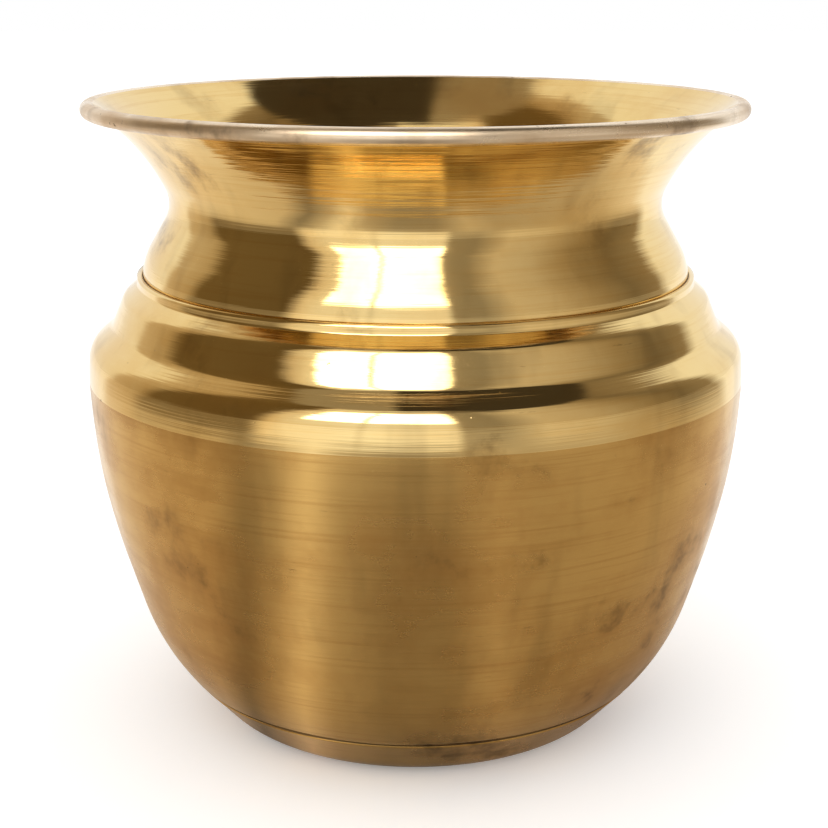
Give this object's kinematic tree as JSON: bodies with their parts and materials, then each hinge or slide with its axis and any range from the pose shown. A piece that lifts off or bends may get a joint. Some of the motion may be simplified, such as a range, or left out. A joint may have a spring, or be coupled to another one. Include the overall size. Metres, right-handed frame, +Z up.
{
  "type": "lota water pot",
  "caption": "Round-bellied sheet brass water pot with a stepped neck, flared mouth and wired rolled rim, for holding and pouring water.",
  "frame": {"origin": "centre of the flat foot, on the ground", "axes": "+Z up along the axis of revolution; the pot is the same all round, and -Y faces the picture's camera"},
  "size_m": [0.1114, 0.1114, 0.1069],
  "materials": {
    "base_dish": "satin, worn by standing",
    "base_seam_braze": "dull brazing alloy",
    "belly_shell": "satin spun below, polished shoulder and collar",
    "neck_seam_braze": "dull brazing alloy",
    "neck_shell": "mirror polish with spinning lines",
    "rim_wire": "drawn wire"
  },
  "bodies": {
    "root": {"base_dish": "base_dish", "base_seam_braze": "base_seam_braze", "belly_shell": "belly_shell", "neck_seam_braze": "neck_seam_braze", "neck_shell": "neck_shell", "rim_wire": "rim_wire"}
  },
  "joints": []
}
